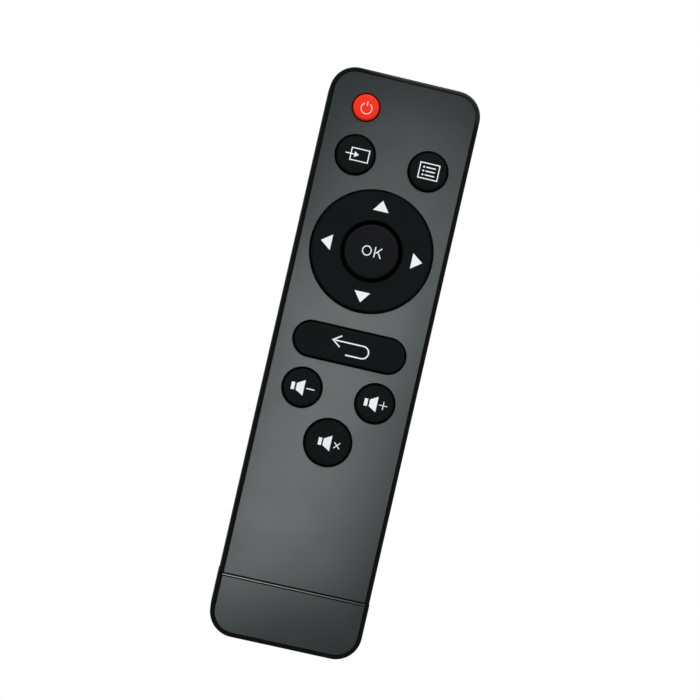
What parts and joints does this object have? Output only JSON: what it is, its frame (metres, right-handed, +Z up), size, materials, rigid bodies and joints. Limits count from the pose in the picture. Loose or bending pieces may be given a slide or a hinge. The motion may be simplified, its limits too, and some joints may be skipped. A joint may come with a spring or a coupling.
{
  "type": "projector remote control",
  "caption": "Slim black infrared remote control with gloss grey front inlays, round rubber keys, a rocking direction pad and an end cap that slides off the battery bay.",
  "frame": {"origin": "middle of the flat back, under the middle of the outline", "axes": "+X to the right of the keys, +Y along the length towards the infrared end, +Z up through the keys"},
  "size_m": [0.0426, 0.16, 0.017],
  "materials": {
    "case_black": "fine moulded texture, satin",
    "panel_gloss": "high gloss",
    "key_rubber": "matt, coated",
    "power_red": "matt, coated",
    "mat_rubber": "translucent grey silicone",
    "carbon": "matt carbon-filled rubber",
    "board_green": "solder mask over glass laminate",
    "pad_carbon": "printed carbon",
    "contact_nickel": "nickel plated",
    "screw_steel": "zinc plated",
    "chip_epoxy": "moulded epoxy",
    "capacitor_sleeve": "printed sleeve",
    "resonator_ceramic": "dipped coating",
    "lamp_epoxy": "clear epoxy",
    "window_smoke": "polished, dark red tint",
    "cell_jacket": "printed metal jacket"
  },
  "bodies": {
    "handset": {"front_case": "case_black", "rear_case": "case_black", "front_panel": "panel_gloss", "circuit_board": "board_green", "contact_pads": "pad_carbon", "keypad_mat": "mat_rubber", "infrared_lamp": "lamp_epoxy", "infrared_window": "window_smoke", "controller_chip": "chip_epoxy", "capacitor": "capacitor_sleeve", "resonator": "resonator_ceramic", "lamp_transistor": "chip_epoxy", "resistors": "chip_epoxy", "battery_one": "cell_jacket", "battery_two": "cell_jacket", "bridge_contact": "contact_nickel", "positive_contact": "contact_nickel", "negative_contact": "contact_nickel", "spring_one": "contact_nickel", "spring_two": "contact_nickel", "case_screws": "screw_steel", "board_screws": "screw_steel", "dpad_skirts": "mat_rubber", "back_key_skirt": "mat_rubber", "power_key_skirt": "mat_rubber", "input_key_skirt": "mat_rubber", "menu_key_skirt": "mat_rubber", "volume_down_key_skirt": "mat_rubber", "volume_up_key_skirt": "mat_rubber", "mute_key_skirt": "mat_rubber", "ok_key_skirt": "mat_rubber"},
    "power": {"power_key": "power_red", "power_key_pill": "carbon"},
    "input": {"input_key": "key_rubber", "input_key_pill": "carbon"},
    "menu": {"menu_key": "key_rubber", "menu_key_pill": "carbon"},
    "volume_down": {"volume_down_key": "key_rubber", "volume_down_key_pill": "carbon"},
    "volume_up": {"volume_up_key": "key_rubber", "volume_up_key_pill": "carbon"},
    "mute": {"mute_key": "key_rubber", "mute_key_pill": "carbon"},
    "ok": {"ok_key": "key_rubber", "ok_key_pill": "carbon"},
    "back": {"back_key": "key_rubber", "back_key_pills": "carbon"},
    "dpad_gimbal": {"dpad_fulcrum": "mat_rubber"},
    "dpad": {"dpad_ring": "key_rubber", "dpad_pills": "carbon"},
    "cover": {"battery_cover": "case_black", "cover_panel": "panel_gloss"}
  },
  "joints": [
    {"name": "power_press", "type": "slide", "parent": "handset", "child": "power", "axis": [0, 0, -1], "range_m": [0, 0.00075], "stiffness_N_per_m": 1800, "deforming": ["power_key_skirt"]},
    {"name": "input_press", "type": "slide", "parent": "handset", "child": "input", "axis": [0, 0, -1], "range_m": [0, 0.00075], "stiffness_N_per_m": 2200, "deforming": ["input_key_skirt"]},
    {"name": "menu_press", "type": "slide", "parent": "handset", "child": "menu", "axis": [0, 0, -1], "range_m": [0, 0.00075], "stiffness_N_per_m": 2200, "deforming": ["menu_key_skirt"]},
    {"name": "volume_down_press", "type": "slide", "parent": "handset", "child": "volume_down", "axis": [0, 0, -1], "range_m": [0, 0.00075], "stiffness_N_per_m": 2200, "deforming": ["volume_down_key_skirt"]},
    {"name": "volume_up_press", "type": "slide", "parent": "handset", "child": "volume_up", "axis": [0, 0, -1], "range_m": [0, 0.00075], "stiffness_N_per_m": 2200, "deforming": ["volume_up_key_skirt"]},
    {"name": "mute_press", "type": "slide", "parent": "handset", "child": "mute", "axis": [0, 0, -1], "range_m": [0, 0.00075], "stiffness_N_per_m": 2200, "deforming": ["mute_key_skirt"]},
    {"name": "ok_press", "type": "slide", "parent": "handset", "child": "ok", "axis": [0, 0, -1], "range_m": [0, 0.00075], "stiffness_N_per_m": 2200, "deforming": ["ok_key_skirt"]},
    {"name": "back_press", "type": "slide", "parent": "handset", "child": "back", "axis": [0, 0, -1], "range_m": [0, 0.00075], "stiffness_N_per_m": 2200, "deforming": ["back_key_skirt"]},
    {"name": "dpad_rock_up_down", "type": "hinge", "parent": "handset", "child": "dpad_gimbal", "pos_m": [0, 0.03153, 0.015], "axis": [1, 0, 0], "range_deg": [-2, 2], "stiffness_Nm_per_rad": 0.6, "deforming": ["dpad_skirts"]},
    {"name": "dpad_rock_left_right", "type": "hinge", "parent": "dpad_gimbal", "child": "dpad", "pos_m": [0, 0.03153, 0.015], "axis": [0, 1, 0], "range_deg": [-2, 2], "stiffness_Nm_per_rad": 0.6, "deforming": ["dpad_skirts"]},
    {"name": "cover_slide", "type": "slide", "parent": "handset", "child": "cover", "axis": [0, -1, 0], "range_m": [0, 0.056]}
  ]
}
